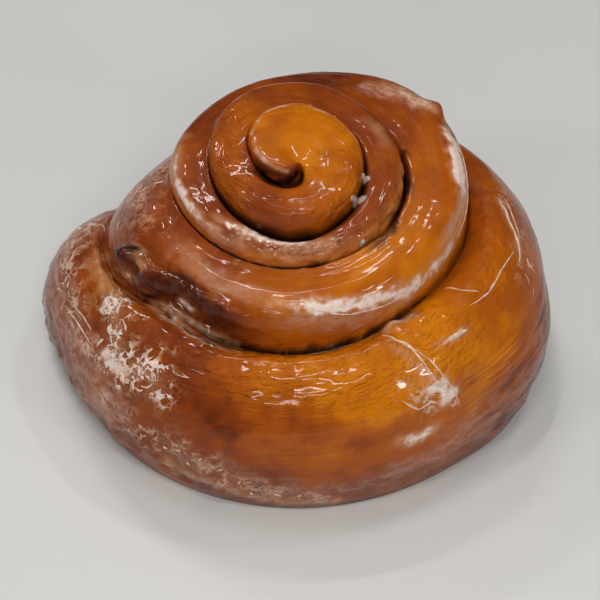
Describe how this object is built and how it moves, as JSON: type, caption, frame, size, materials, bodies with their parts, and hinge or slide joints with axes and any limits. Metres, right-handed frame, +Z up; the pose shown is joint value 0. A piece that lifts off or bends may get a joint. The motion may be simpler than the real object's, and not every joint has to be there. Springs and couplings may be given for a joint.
{
  "type": "glazed cinnamon roll",
  "caption": "Glazed cinnamon roll: one strip of dough wound into a raised, tilted spiral on a broad base coil with a flat underside.",
  "frame": {"origin": "centre of the bounding box at the underside that rests on the plate", "axes": "+Z up through the spiral, +X to the right and -Y to the front as the roll is seen in the picture"},
  "size_m": [0.111, 0.0972, 0.0594],
  "materials": {
    "glazed_crust": "glossy sugar glaze over a baked golden-brown crust"
  },
  "bodies": {
    "root": {"cinnamon_roll": "glazed_crust"}
  },
  "joints": []
}
